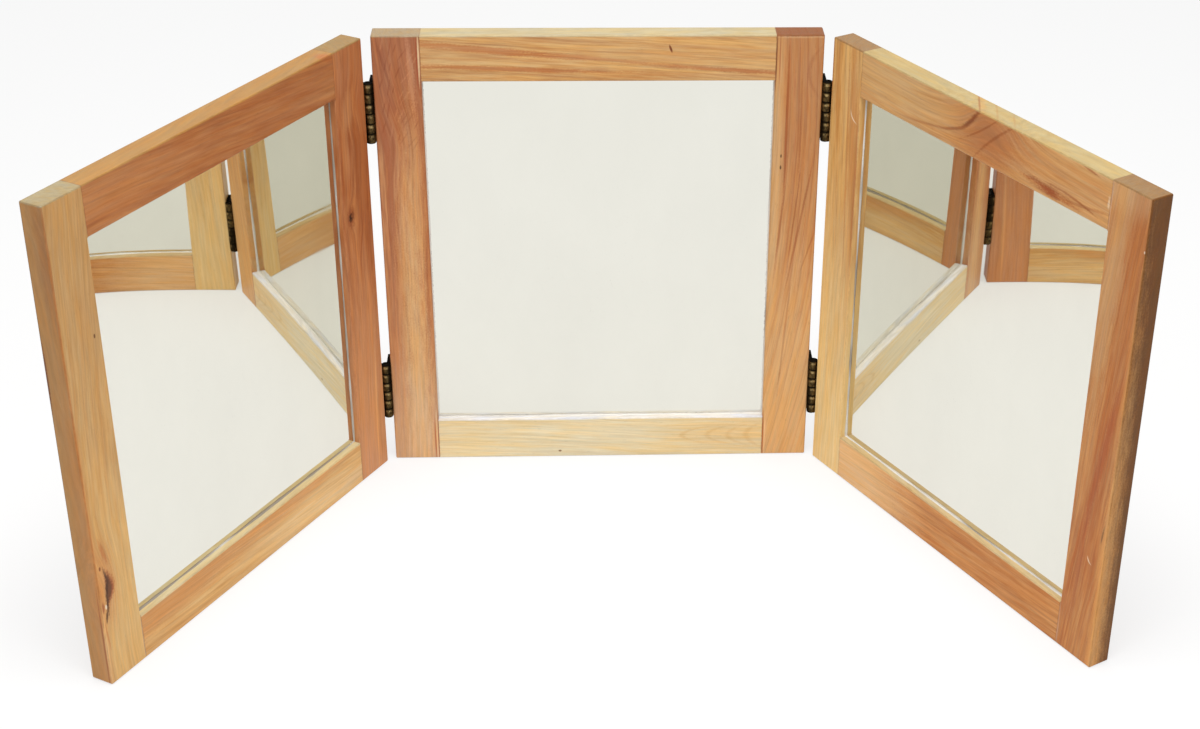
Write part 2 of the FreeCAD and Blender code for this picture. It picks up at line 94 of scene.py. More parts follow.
def put(tree, kind, fill=None, **options):
    """Adds a node, sets its options, and gives each named or numbered input a value or a link."""
    made = tree.nodes.new(kind)
    for option, value in options.items():
        setattr(made, option, value)
    for name, value in (fill or {}).items():
        if isinstance(value, bpy.types.NodeSocket):
            tree.links.new(value, made.inputs[name])
        else:
            made.inputs[name].default_value = value
    return made


def maths(tree, operation, *terms, clamp=False):
    """One step of arithmetic on numbers."""
    step = put(tree, "ShaderNodeMath", dict(enumerate(terms)), operation=operation, use_clamp=clamp)
    return step.outputs[0]


def times(tree, first, second):
    """Two numbers multiplied."""
    return maths(tree, "MULTIPLY", first, second)


def vectors(tree, operation, *terms):
    """One step of arithmetic on points; a length or a dot product comes out as a number."""
    step = put(tree, "ShaderNodeVectorMath", dict(enumerate(terms)), operation=operation)
    return step.outputs["Value" if operation in ("LENGTH", "DOT_PRODUCT") else "Vector"]


def scaled(tree, vector, factor):
    """A point or a colour times a number."""
    return put(tree, "ShaderNodeVectorMath", {0: vector, "Scale": factor}, operation="SCALE").outputs[0]


def split(tree, vector):
    """The three parts of a point, by the names X, Y and Z."""
    return put(tree, "ShaderNodeSeparateXYZ", {0: vector}).outputs


def chance(tree, number):
    """A random value from 0 to 1, with its own for every number."""
    return put(tree, "ShaderNodeTexWhiteNoise", {"W": number}, noise_dimensions="1D").outputs["Value"]


def fade(tree, value, start, end):
    """A smooth step from 0 at start to 1 at end."""
    limits = {"Value": value, "From Min": start, "From Max": end}
    return put(tree, "ShaderNodeMapRange", limits, interpolation_type="SMOOTHSTEP").outputs[0]


def mottle(tree, point, stretch, detail=2.0, roughness=0.5):
    """Cloudy noise from 0 to 1, with stretch counting its cells per metre along each axis."""
    cells = vectors(tree, "MULTIPLY", point, stretch)
    fill = {"Vector": cells, "Scale": 1.0, "Detail": detail, "Roughness": roughness}
    return put(tree, "ShaderNodeTexNoise", fill).outputs[0]


def around_zero(tree, value, amount):
    """A 0 to 1 value spread evenly about zero, from minus half the amount to plus half."""
    return times(tree, maths(tree, "SUBTRACT", value, 0.5), amount)


def total(tree, *terms):
    """The sum of several numbers."""
    result = terms[0]
    for term in terms[1:]:
        result = maths(tree, "ADD", result, term)
    return result


def blended(tree, share, first, second, how="MIX"):
    """The second colour laid over the first, by a share from 0 to 1."""
    fill = {0: share, 6: first, 7: second}
    return put(tree, "ShaderNodeMix", fill, data_type="RGBA", blend_type=how).outputs[2]


def new_group(name, takes, gives):
    """A shader node group with named sockets, with what it takes and what it gives."""
    group = bpy.data.node_groups.new(name, "ShaderNodeTree")
    for label, kind in takes.items():
        group.interface.new_socket(label, in_out="INPUT", socket_type="NodeSocket" + kind)
    for label, kind in gives.items():
        group.interface.new_socket(label, in_out="OUTPUT", socket_type="NodeSocket" + kind)
    taken = group.nodes.new("NodeGroupInput").outputs
    given = group.nodes.new("NodeGroupOutput").inputs
    return group, taken, given


PALER_VEIL = (0.975, 1.03, 1.15, 1)
REDDER_VEIL = (1.025, 0.97, 0.85, 1)

# Growth rings are uneven shells round a pith line that leans and bows away from the board.
# Streaks of heartwood follow the shells, and soft clouds, fibres and short flecks lie over them.
timber, take, give = new_group(
    "varnished_timber",
    {
        "Point": "Vector", "Shift": "Vector", "Pith": "Vector", "Lean": "Vector", "Bow": "Vector",
        "Push": "Float", "Ring Gap": "Float", "Waver": "Float", "Pale": "Color", "Warm": "Color",
        "Line": "Color", "Warmth": "Float", "Contrast": "Float", "Line Strength": "Float",
    },
    {"Color": "Color", "Veil": "Color", "Roughness": "Float", "Height": "Float"},
)
spot = vectors(timber, "ADD", take["Point"], take["Shift"])
axes = split(timber, take["Point"])
slope = vectors(timber, "ADD", take["Lean"], scaled(timber, take["Bow"], axes["Z"]))
pith_here = vectors(timber, "ADD", take["Pith"], scaled(timber, slope, axes["Z"]))
from_pith = vectors(timber, "SUBTRACT", take["Point"], pith_here)
radius = vectors(timber, "LENGTH", vectors(timber, "MULTIPLY", from_pith, (1, 1, 0)))
slow_waver = around_zero(timber, mottle(timber, spot, (14, 14, 6)), take["Waver"])
fifth_of_waver = times(timber, take["Waver"], 0.2)
quick_waver = around_zero(timber, mottle(timber, spot, (90, 90, 16)), fifth_of_waver)
radius = total(timber, radius, slow_waver, quick_waver, take["Push"])
rings = maths(timber, "DIVIDE", radius, take["Ring Gap"])
season_fill = {"W": rings, "Scale": 0.45, "Detail": 1.0}
season = put(timber, "ShaderNodeTexNoise", season_fill, noise_dimensions="1D").outputs[0]
rings = maths(timber, "ADD", rings, around_zero(timber, season, 1.4))
within_ring = maths(timber, "FRACT", rings)
ring_end = fade(timber, within_ring, 1.0, 0.9)
late_wood = times(timber, maths(timber, "POWER", within_ring, 4.0), ring_end)
year = chance(timber, maths(timber, "FLOOR", rings))
shell = put(timber, "ShaderNodeCombineXYZ", {"X": radius, "Y": axes["Y"], "Z": axes["Z"]}).outputs[0]
shell = vectors(timber, "ADD", shell, take["Shift"])
heartwood = mottle(timber, shell, (75, 18, 2.6))
streak = mottle(timber, shell, (260, 60, 7), 4.0, 0.6)
fine_streak = mottle(timber, shell, (820, 200, 18), 3.0, 0.6)
dash = mottle(timber, shell, (560, 160, 42), 2.0)
cloud = mottle(timber, spot, (26, 26, 11), 3.0, 0.55)
fibre = mottle(timber, spot, (2600, 2600, 130), 2.0, 0.6)
fleck = fade(timber, mottle(timber, spot, (1300, 1300, 190), 1.0), 0.66, 0.78)
figure = total(
    timber,
    around_zero(timber, heartwood, 2.0),
    around_zero(timber, streak, 3.6),
    around_zero(timber, dash, 2.4),
    around_zero(timber, cloud, 1.3),
    around_zero(timber, times(timber, year, fade(timber, within_ring, 1.0, 0.75)), 0.4),
)
warm_share = maths(timber, "MULTIPLY_ADD", figure, take["Contrast"], take["Warmth"], clamp=True)
tone = blended(timber, warm_share, take["Pale"], take["Warm"])
vein = times(timber, fade(timber, fine_streak, 0.55, 0.72), 0.8)
strong_years = times(timber, late_wood, fade(timber, streak, 0.2, 0.5))
drawn = maths(timber, "MAXIMUM", strong_years, vein)
tone = blended(timber, times(timber, drawn, take["Line Strength"]), tone, take["Line"])
shade = total(timber, 1.0, around_zero(timber, fine_streak, 0.6), around_zero(timber, fibre, 0.16))
shade = maths(timber, "SUBTRACT", shade, times(timber, fleck, 0.12))
blotch = mottle(timber, spot, (120, 120, 13))
blush = mottle(timber, shell, (420, 150, 34))
unevenness = total(timber, around_zero(timber, blotch, 2.2), around_zero(timber, blush, 2.4))
redness = maths(timber, "ADD", unevenness, 0.5, clamp=True)
veil = blended(timber, redness, PALER_VEIL, REDDER_VEIL)
timber.links.new(tone, give["Color"])
timber.links.new(scaled(timber, veil, shade), give["Veil"])
gloss = total(timber, 0.44, around_zero(timber, fine_streak, 0.2), times(timber, late_wood, 0.05))
timber.links.new(gloss, give["Roughness"])
relief = maths(timber, "SUBTRACT", times(timber, fibre, 0.5), times(timber, fleck, 0.5))
timber.links.new(maths(timber, "MULTIPLY_ADD", late_wood, 0.35, relief), give["Height"])

# A knot or swirl pushes the rings outward round itself, most at its middle.
swirl, take, give = new_group(
    "ring_push",
    {"Point": "Vector", "Centre": "Vector", "Reach": "Vector", "Height": "Float"},
    {"Push": "Float"},
)
apart = vectors(swirl, "SUBTRACT", take["Point"], take["Centre"])
apart = vectors(swirl, "DIVIDE", apart, take["Reach"])
squared = vectors(swirl, "DOT_PRODUCT", apart, apart)
fall = maths(swirl, "EXPONENT", times(swirl, squared, -1.0))
swirl.links.new(times(swirl, fall, take["Height"]), give["Push"])

# A mark is an egg-shaped patch of another tint with an edge that frays along the grain. It may be
# tilted off the grain, bent to an arc, or slanted back through the board.
marked, take, give = new_group(
    "wood_mark",
    {
        "Color": "Color", "Point": "Vector", "Centre": "Vector", "Reach": "Vector", "Tilt": "Float",
        "Bend": "Float", "Slant": "Float", "Edge": "Float", "Fray": "Float", "Tint": "Color",
        "Strength": "Float",
    },
    {"Color": "Color"},
)
apart = vectors(marked, "SUBTRACT", take["Point"], take["Centre"])
turn_fill = {0: apart, "Angle": take["Tilt"]}
turned = put(marked, "ShaderNodeVectorRotate", turn_fill, rotation_type="Y_AXIS").outputs[0]
run = split(marked, turned)["Z"]
arc = times(marked, times(marked, run, run), take["Bend"])
set_back = times(marked, run, take["Slant"])
bent = put(marked, "ShaderNodeCombineXYZ", {"X": arc, "Y": set_back}).outputs[0]
apart = vectors(marked, "SUBTRACT", turned, bent)
distance = vectors(marked, "LENGTH", vectors(marked, "DIVIDE", apart, take["Reach"]))
ragged = total(
    marked,
    around_zero(marked, mottle(marked, take["Point"], (420, 420, 55), 3.0, 0.6), 1.0),
    around_zero(marked, mottle(marked, take["Point"], (900, 900, 600), 2.0), 0.7),
)
distance = maths(marked, "ADD", distance, times(marked, ragged, take["Fray"]))
outer = maths(marked, "ADD", 1.0, take["Edge"])
inner = maths(marked, "SUBTRACT", 1.0, take["Edge"])
share = times(marked, fade(marked, distance, outer, inner), take["Strength"])
marked.links.new(blended(marked, share, take["Color"], take["Tint"]), give["Color"])

# Handled edges and the hairline joints between boards are where two faces of a board meet.
edges, take, give = new_group(
    "board_edge",
    {"Point": "Vector", "Size": "Vector", "Reach": "Float"},
    {"Mask": "Float"},
)
from_far_sides = vectors(edges, "SUBTRACT", take["Size"], take["Point"])
inward = vectors(edges, "MINIMUM", take["Point"], from_far_sides)
sides = split(edges, inward)
nearer = maths(edges, "MINIMUM", sides["X"], sides["Y"])
farther = maths(edges, "MAXIMUM", sides["X"], sides["Y"])
second_nearest = maths(edges, "MAXIMUM", nearer, maths(edges, "MINIMUM", farther, sides["Z"]))
broken = fade(edges, mottle(edges, take["Point"], (160, 160, 160), 3.0), 0.3, 0.62)
near_edge = fade(edges, second_nearest, take["Reach"], 0.0)
edges.links.new(times(edges, near_edge, broken), give["Mask"])

PUSH_DEPTH = 40
WASH_DEPTH = 0.001
ALL_OVER = 10.0
EDGE_REACH = 0.0009
EDGE_STRENGTH = 0.5
JOINT_TINT = colour(112, 62, 34)
GRAIN_RELIEF = 0.00012
SEED_STEPS = (0.37, 1.91, 0.73)


def push(across, along, wide, long, height):
    """Rings moved outward at a place on the front, over a width and a length, all in millimetres."""
    return {
        "Centre": mm(across, 0, along), "Reach": mm(wide, PUSH_DEPTH, long), "Height": height * 0.001,
    }


def mark(
    across, along, wide, long, tint, strength,
    tilt=0.0, bend=0.0, edge=0.5, fray=0.6, back=0.0, deep=9.0, slant=0.0,
):
    """A mark on a board's front: its place and half sizes in millimetres, then its look.

    tilt is how far its upper end leans across the grain, in degrees, and bend is how far
    both its ends bow across, in millimetres. One set back from the front lies on a side face,
    and slant is how far it runs back for each unit along.
    """
    return {
        "Centre": mm(across, back, along), "Reach": mm(wide, deep, long),
        "Tilt": -math.radians(tilt), "Bend": bend / long ** 2 * 1000, "Slant": slant,
        "Edge": edge, "Fray": fray, "Tint": tint, "Strength": strength,
    }


def wash(tint, strength, across=None, along=None):
    """A tint over the whole face that lies at one place across or along a board."""
    places = (across, None, along)
    return {
        "Centre": mm(*(place or 0 for place in places)),
        "Reach": tuple(ALL_OVER if place is None else WASH_DEPTH for place in places),
        "Edge": 0.5, "Fray": 0.5, "Tint": tint, "Strength": strength,
    }


def stile(panel, first):
    """Where a stile's own axes are: across it to the right, back through it, and up the grain."""
    start = 0.0 if first else PANEL_WIDTH - STILE_WIDTH
    size = (STILE_WIDTH, BOARD_THICKNESS, PANEL_HEIGHT)
    return on_panel(panel, start, 0, 0), (0, 0, panel_turns[panel]), size


def rail(panel, at_top):
    """Where a rail's own axes are: across it upwards, back through it, and leftwards with the grain."""
    height = PANEL_HEIGHT - RAIL_WIDTH if at_top else 0.0
    size = (RAIL_WIDTH, BOARD_THICKNESS, RAIL_LENGTH)
    start = on_panel(panel, PANEL_WIDTH - STILE_WIDTH, 0, height)
    return start, (0, -math.pi / 2, panel_turns[panel]), size


def object_point(tree, start=(0, 0, 0), turn=(0, 0, 0)):
    """The shaded point, measured from a start and along turned axes of the piece itself."""
    place = put(tree, "ShaderNodeTexCoord").outputs["Object"]
    fill = {"Vector": place, "Location": start, "Rotation": turn}
    return put(tree, "ShaderNodeMapping", fill, vector_type="TEXTURE").outputs[0]


def new_material(name, **settings):
    """A material with one shader, whose plain sockets are set by their names."""
    material = bpy.data.materials.new(name)
    material.use_nodes = True
    shader = material.node_tree.nodes["Principled BSDF"]
    for label, value in settings.items():
        shader.inputs[label.replace("_", " ")].default_value = value
    return material, material.node_tree, shader


def feed(tree, shader, **links):
    """Links values to a shader's sockets by their names."""
    for label, value in links.items():
        tree.links.new(value, shader.inputs[label.replace("_", " ")])


def dress(node, material):
    """Puts a material on every slot of a CAD node."""
    for slot in frame["nodes"][node].material_slots:
        slot.material = material


def relief_from(tree, height, distance):
    """A surface normal that follows a height, where one unit of it stands for a distance in metres."""
    fill = {"Height": height, "Distance": distance, "Strength": 1.0}
    return put(tree, "ShaderNodeBump", fill).outputs[0]


def finish_board(node, board, wood, pushes=(), marks=()):
    """Gives a board its own grain, then its marks one over another, then its edges and joints."""
    start, turn, size = board
    material, tree, shader = new_material(
        node + "_varnished", Coat_Weight=0.06, Coat_Roughness=0.25, Specular_IOR_Level=0.2
    )
    point = object_point(tree, start, turn)
    moved = 0.0
    for settings in pushes:
        bump = put(tree, "ShaderNodeGroup", {"Point": point, **settings}, node_tree=swirl)
        moved = maths(tree, "ADD", bump.outputs["Push"], moved)
    fill = {"Point": point, "Push": moved, **wood}
    grained = put(tree, "ShaderNodeGroup", fill, node_tree=timber).outputs
    tone = grained["Color"]
    for settings in marks:
        fill = {"Color": tone, "Point": point, **settings}
        tone = put(tree, "ShaderNodeGroup", fill, node_tree=marked).outputs["Color"]
    tone = blended(tree, 1.0, tone, grained["Veil"], "MULTIPLY")
    fill = {"Point": point, "Size": size, "Reach": EDGE_REACH}
    edge = put(tree, "ShaderNodeGroup", fill, node_tree=edges).outputs["Mask"]
    tone = blended(tree, times(tree, edge, EDGE_STRENGTH), tone, JOINT_TINT)
    relief = relief_from(tree, grained["Height"], GRAIN_RELIEF)
    feed(tree, shader, Base_Color=tone, Roughness=grained["Roughness"], Normal=relief)
    dress(node, material)


def grain(
    pale, warm, line, warmth, contrast, line_strength, pith, gap, seed,
    lean=(0, 0), bow=(0, 0), waver=7,
):
    """What the timber takes: its three colours and how they mix, and its rings in millimetres.

    pith is across and back from the board's corner, lean is what it moves for each unit along,
    and bow is how much that lean grows with each metre.
    """
    return {
        "Pale": colour(*pale), "Warm": colour(*warm), "Line": colour(*line), "Warmth": warmth,
        "Contrast": contrast, "Line Strength": line_strength, "Pith": mm(*pith, 0), "Lean": (*lean, 0),
        "Bow": (*bow, 0), "Ring Gap": gap * 0.001, "Waver": waver * 0.001,
        "Shift": tuple(seed * step for step in SEED_STEPS),
    }


RED_BROWN = colour(150, 74, 34)
DARK_KNOT = colour(50, 24, 8)
DARK_GUM = colour(74, 40, 18)
FILLER = colour(232, 214, 186)

finish_board(
    "left_wing_outer_stile", stile("left_wing", True),
    grain(
        (218, 174, 110), (192, 142, 80), (168, 100, 50), 0.42, 0.5, 0.3,
        pith=(70, 26), lean=(-0.05, 0.02), bow=(0.2, 0), gap=6.0, seed=1.1, waver=12,
    ),
    pushes=[push(8, 82, 12, 30, 8)],
    marks=[
        # Painted shade and light: the upper half is darker and the foot paler, as light from below
        # falls.
        mark(20, 386, 50, 190, colour(172, 130, 84), 0.55, edge=0.9),
        mark(28, 40, 30, 90, colour(220, 182, 120), 0.5, edge=0.8),
        mark(8.5, 84, 8.5, 30, colour(196, 122, 62), 0.6, edge=0.8, fray=1.2),
        mark(10, 110, 1.7, 11, colour(172, 98, 48), 0.6, tilt=-16, edge=0.7, fray=1.4),
        mark(12.2, 81, 3.2, 12.5, colour(158, 70, 34), 0.85, tilt=3, bend=-2.5, edge=0.6, fray=1.6),
        mark(10.6, 81, 3.0, 11.5, colour(106, 62, 30), 0.95, tilt=5, bend=-1.5, edge=0.5, fray=1.5),
        mark(8.8, 92, 0.9, 6.5, DARK_GUM, 0.75, tilt=-13, edge=0.7, fray=1.6),
        mark(8.6, 81, 1.1, 7.5, DARK_GUM, 0.8, tilt=15, edge=0.7, fray=1.7),
        mark(7.2, 69, 1.2, 9, DARK_GUM, 0.85, tilt=3, edge=0.6, fray=1.6),
        mark(2.3, 67.6, 1.3, 4.2, colour(118, 40, 18), 0.85, edge=0.5, fray=1.2),
        mark(4.8, 58.5, 1.0, 5, DARK_KNOT, 0.85, tilt=12, edge=0.5, fray=1.2),
        mark(5.2, 66.8, 0.9, 2.0, FILLER, 0.9, edge=0.3, fray=0.4),
        mark(4.3, 100.4, 1.0, 1.8, colour(112, 52, 24), 0.85, edge=0.4),
        mark(2.8, 43, 0.7, 11, colour(188, 106, 56), 0.6, tilt=-5, fray=1.2),
        mark(31.3, 276.7, 0.8, 1.7, colour(96, 52, 26), 0.85, edge=0.3),
        mark(0.3, 345, 1.1, 44, RED_BROWN, 0.6),
        mark(37.6, 19, 0.7, 22, colour(186, 156, 130), 0.8),
        wash(colour(168, 118, 68), 0.7, across=0),
        mark(0, 50, 3, 160, colour(204, 136, 76), 0.5, edge=0.9),
        # Painted shadow: a dark line along the back edge of the outer side face.
        mark(0, 250, 2, 170, colour(92, 68, 38), 0.7, fray=0.9, back=18.7, deep=0.9),
        mark(0, 255, 2, 24, colour(98, 46, 26), 0.7, fray=1.2, back=17.6, deep=1.0),
        mark(0.2, 230, 0.9, 150, colour(196, 124, 64), 0.55, fray=0.8, deep=1.0),
        mark(0, 34, 2, 42, RED_BROWN, 0.6, fray=0.8, back=2.3, deep=0.8),
        # Painted highlight: a pale stripe on the front arris near the foot.
        mark(0.6, 30, 1.0, 38, colour(238, 192, 132), 0.55, fray=0.8, deep=1.2),
        wash(colour(150, 136, 102), 0.9, along=386),
    ],
)
finish_board(
    "left_wing_hinge_stile", stile("left_wing", False),
    grain(
        (192, 124, 74), (160, 88, 46), (120, 58, 30), 0.5, 0.7, 0.45,
        pith=(-50, 24), lean=(0.03, 0.02), gap=5.2, seed=2.3, waver=12,
    ),
    pushes=[push(10.5, 244.5, 5, 12, 5), push(22, 335, 12, 22, 5)],
    marks=[
        # Painted light: the foot is paler, as lit from below.
        mark(22, 0, 50, 150, colour(214, 154, 106), 0.75, edge=0.9),
        mark(30, 262, 14, 60, colour(150, 80, 42), 0.5, fray=1.0),
        mark(14, 334, 7, 16, colour(200, 142, 92), 0.45, tilt=12, fray=1.0),
        mark(8, 303, 4, 22, colour(200, 140, 90), 0.4),
        mark(30, 350, 5, 30, colour(186, 118, 74), 0.4, fray=1.0),
        mark(12, 374, 30, 24, colour(184, 122, 80), 0.5, edge=0.8),
        mark(11, 244.5, 8, 13, colour(194, 130, 78), 0.5, edge=0.7, fray=1.4),
        mark(9.5, 244.5, 4.0, 9.0, colour(132, 60, 28), 0.85, edge=0.7, fray=1.8),
        mark(9.6, 244.2, 2.5, 3.4, DARK_KNOT, 0.95, edge=0.5, fray=1.8),
        mark(10.4, 244.8, 0.8, 1.1, colour(150, 84, 44), 0.8, edge=0.4),
        mark(20, 212, 0.8, 26, RED_BROWN, 0.75, tilt=9, bend=1.5),
        mark(27, 60, 1.4, 60, colour(226, 172, 118), 0.5, tilt=2),
        wash(colour(144, 118, 70), 0.88, along=386),
    ],
)
finish_board(
    "left_wing_bottom_rail", rail("left_wing", False),
    grain(
        (222, 180, 118), (200, 146, 82), (176, 104, 50), 0.42, 0.45, 0.22,
        pith=(-40, 30), lean=(0.06, 0), gap=5.5, seed=5.1,
    ),
    marks=[
        mark(32, 240, 15, 180, colour(200, 138, 78), 0.8, tilt=-3, edge=0.7, fray=1.0),
        mark(31, 80, 5, 50, colour(212, 152, 94), 0.45, tilt=-6, fray=1.0),
        mark(12, 50, 10, 80, colour(234, 202, 150), 0.6, edge=0.8),
        wash(colour(203, 184, 139), 0.9, across=38),
    ],
)
finish_board(
    "left_wing_top_rail", rail("left_wing", True),
    grain(
        (188, 126, 74), (162, 96, 52), (128, 66, 34), 0.48, 0.6, 0.35,
        pith=(-50, 40), lean=(0.08, 0), gap=5.0, seed=1.2, waver=10,
    ),
    marks=[
        mark(16, 45, 14, 60, colour(164, 98, 56), 0.35, tilt=-10, edge=0.8, fray=1.6),
        mark(20, 240, 20, 60, colour(178, 116, 70), 0.4, edge=0.8),
        wash(colour(162, 122, 64), 0.88, across=38),
        mark(37, 8, 3, 12, colour(170, 96, 52), 0.6, tilt=30),
    ],
)


# Centre frame's boards: the same four boards as a wing has, standing square to the front.
# Its left stile is reddish heartwood with a diagonal figure, its bottom rail nearly white sapwood.

finish_board(
    "centre_left_stile", stile("centre", True),
    grain(
        (206, 146, 96), (174, 106, 66), (130, 62, 34), 0.48, 0.7, 0.5,
        pith=(80, 20), lean=(0.05, 0.02), bow=(-0.2, 0), gap=5.0, seed=7.3, waver=12,
    ),
    pushes=[push(20, 300, 16, 40, 8)],
    marks=[
        # Painted shade: darker toward the top.
        mark(19, 356, 44, 62, colour(158, 92, 60), 0.6, edge=0.6, fray=1.0),
        *(
            mark(
                5 + 29 * (number * 0.618 % 1), 292 + 90 * (number * 0.277 % 1), 0.6, 4 + number % 4,
                colour(196, 132, 90) if number % 3 == 0 else colour(138, 68, 42), 0.42,
                tilt=24 + 14 * math.sin(number * 2.4), fray=1.8,
            )
            for number in range(1, 31)
        ),
        mark(30, 352, 2.4, 30, colour(206, 148, 106), 0.5, tilt=-3, fray=1.2),
        mark(9, 362, 1.2, 20, colour(130, 66, 42), 0.4, tilt=-14, fray=1.2),
        mark(23, 215, 9, 85, colour(214, 162, 106), 0.6, tilt=3, edge=0.8, fray=1.8),
        mark(23, 70, 9, 110, colour(228, 188, 132), 0.65, edge=0.9, fray=1.8),
        mark(5, 70, 6, 130, colour(190, 126, 84), 0.5, tilt=2, edge=0.8, fray=1.8),
        # Painted light: paler toward the foot, as lit from below.
        mark(19, 0, 50, 70, colour(228, 192, 150), 0.55, edge=0.9),
        mark(35.2, 367, 0.5, 22, colour(150, 66, 40), 0.7),
        mark(36.7, 367, 0.7, 20, colour(228, 196, 152), 0.85),
        mark(35.0, 19, 0.6, 22, colour(182, 96, 54), 0.75),
        mark(36.4, 19, 0.6, 22, colour(232, 192, 146), 0.8),
        mark(37.8, 19, 0.6, 22, colour(170, 88, 44), 0.8),
        wash(colour(152, 134, 100), 0.88, along=386),
    ],
)
finish_board(
    "centre_right_stile", stile("centre", False),
    grain(
        (218, 164, 104), (194, 132, 76), (166, 86, 40), 0.42, 0.5, 0.9,
        pith=(-60, 6), lean=(0.25, 0), bow=(-0.4, 0), gap=7.0, seed=3.9, waver=6,
    ),
    marks=[
        # Painted shade and light: darker toward the top, paler toward the foot.
        mark(24, 370, 40, 150, colour(170, 112, 72), 0.55, edge=0.9),
        mark(20, 30, 50, 130, colour(230, 186, 128), 0.55, edge=0.9),
        mark(3, 270, 4.0, 120, colour(212, 168, 114), 0.7),
        mark(10.5, 310, 1.0, 62, RED_BROWN, 0.7),
        mark(8, 216, 0.8, 34, RED_BROWN, 0.55, tilt=4.5, fray=1.2),
        mark(22, 305, 0.7, 38, RED_BROWN, 0.4, fray=1.4),
        mark(19.5, 224, 0.8, 42, RED_BROWN, 0.45, tilt=5, fray=1.2),
        mark(32.5, 198, 0.7, 19, RED_BROWN, 0.4, tilt=16, fray=1.2),
        mark(26.9, 355, 1.6, 20, colour(158, 92, 56), 0.4, bend=8, edge=0.8, fray=2.0),
        mark(19, 385, 30, 1.3, colour(212, 168, 124), 0.6, fray=0.8),
        mark(0.3, 367, 0.7, 22, colour(104, 50, 24), 0.85),
        mark(3.2, 367, 0.6, 24, colour(168, 96, 56), 0.6),
        mark(0.6, 19, 0.9, 22, colour(172, 92, 46), 0.8),
        mark(2.2, 19, 0.7, 22, colour(234, 186, 134), 0.7),
        mark(24.5, 222, 0.9, 58, RED_BROWN, 0.5, tilt=9, fray=1.2),
        mark(16, 120, 0.8, 60, RED_BROWN, 0.35, tilt=4, fray=1.2),
        mark(7, 283, 0.7, 1.6, DARK_KNOT, 0.8, edge=0.3),
        mark(7, 273, 0.7, 1.8, DARK_KNOT, 0.8, edge=0.3),
        wash(colour(120, 62, 4), 0.94, along=386),
    ],
)
finish_board(
    "centre_bottom_rail", rail("centre", False),
    grain(
        (230, 210, 168), (221, 192, 138), (204, 152, 88), 0.35, 0.4, 0.12,
        pith=(-60, 40), lean=(0.04, 0), gap=8.0, seed=0.8, waver=10,
    ),
    marks=[
        mark(19, 200, 40, 120, colour(231, 215, 178), 0.55, edge=0.8),
        mark(20, 20, 12, 50, colour(222, 180, 116), 0.4, edge=0.8, fray=1.2),
        *(
            mark(
                20, along, 2.2, reach, colour(208, 162, 100), 0.35,
                tilt=90, bend=bow, edge=0.95, fray=2.2,
            )
            for along, reach, bow in ((70, 8, 20), (48, 9, 18), (30, 10, 15), (14, 13, 14))
        ),
        mark(5.7, 175.8, 0.9, 1.3, colour(120, 76, 40), 0.85, edge=0.3),
        wash(colour(219, 217, 216), 0.9, across=38),
    ],
)
finish_board(
    "centre_top_rail", rail("centre", True),
    grain(
        (218, 174, 114), (190, 136, 82), (150, 82, 40), 0.36, 0.7, 0.45,
        pith=(-60, 12), lean=(0.06, 0), gap=8.0, seed=4.4, waver=9,
    ),
    marks=[
        mark(27, 236, 2.6, 70, colour(180, 106, 58), 0.65, tilt=6, fray=1.8),
        mark(11, 225, 1.8, 90, colour(178, 106, 58), 0.7, tilt=2, fray=1.8),
        mark(20, 150, 1.4, 60, colour(184, 116, 68), 0.55, tilt=6, fray=1.8),
        mark(9, 34, 1.8, 60, colour(172, 98, 54), 0.7, tilt=4, fray=1.8),
        mark(22, 70, 9, 60, colour(212, 164, 106), 0.4, edge=0.8),
        mark(27.1, 83.4, 0.9, 3.2, colour(124, 60, 28), 0.95, tilt=70, edge=0.4, fray=0.3),
        wash(colour(178, 164, 126), 0.92, across=38),
    ],
)


# Right wing's boards: the lightest stile stands at the hinge and the pinkest one outside.
# The top rail has a swirl of rings where a branch grew, and an edge sawn through it.

finish_board(
    "right_wing_hinge_stile", stile("right_wing", True),
    grain(
        (220, 176, 112), (196, 142, 82), (172, 104, 52), 0.4, 0.8, 0.3,
        pith=(70, 40), lean=(0.04, 0), bow=(-0.1, 0), gap=7.0, seed=6.6,
    ),
    marks=[
        # Painted light: the foot is much paler, as lit from below.
        mark(20, 0, 60, 180, colour(238, 208, 148), 0.8, edge=0.9),
        mark(31, 310, 5, 100, colour(190, 128, 74), 0.6, tilt=-2, edge=0.7, fray=1.2),
        mark(25, 285, 1.2, 90, colour(180, 110, 58), 0.55, tilt=-2, fray=1.2),
        mark(36.5, 275, 1.2, 70, RED_BROWN, 0.5),
        mark(29.5, 328, 0.6, 5.6, FILLER, 0.8, tilt=-42, bend=1.6, edge=0.4, fray=0.2),
        mark(1.0, 364, 1.0, 24, RED_BROWN, 0.55),
        wash(colour(132, 98, 58), 0.9, along=386),
    ],
)
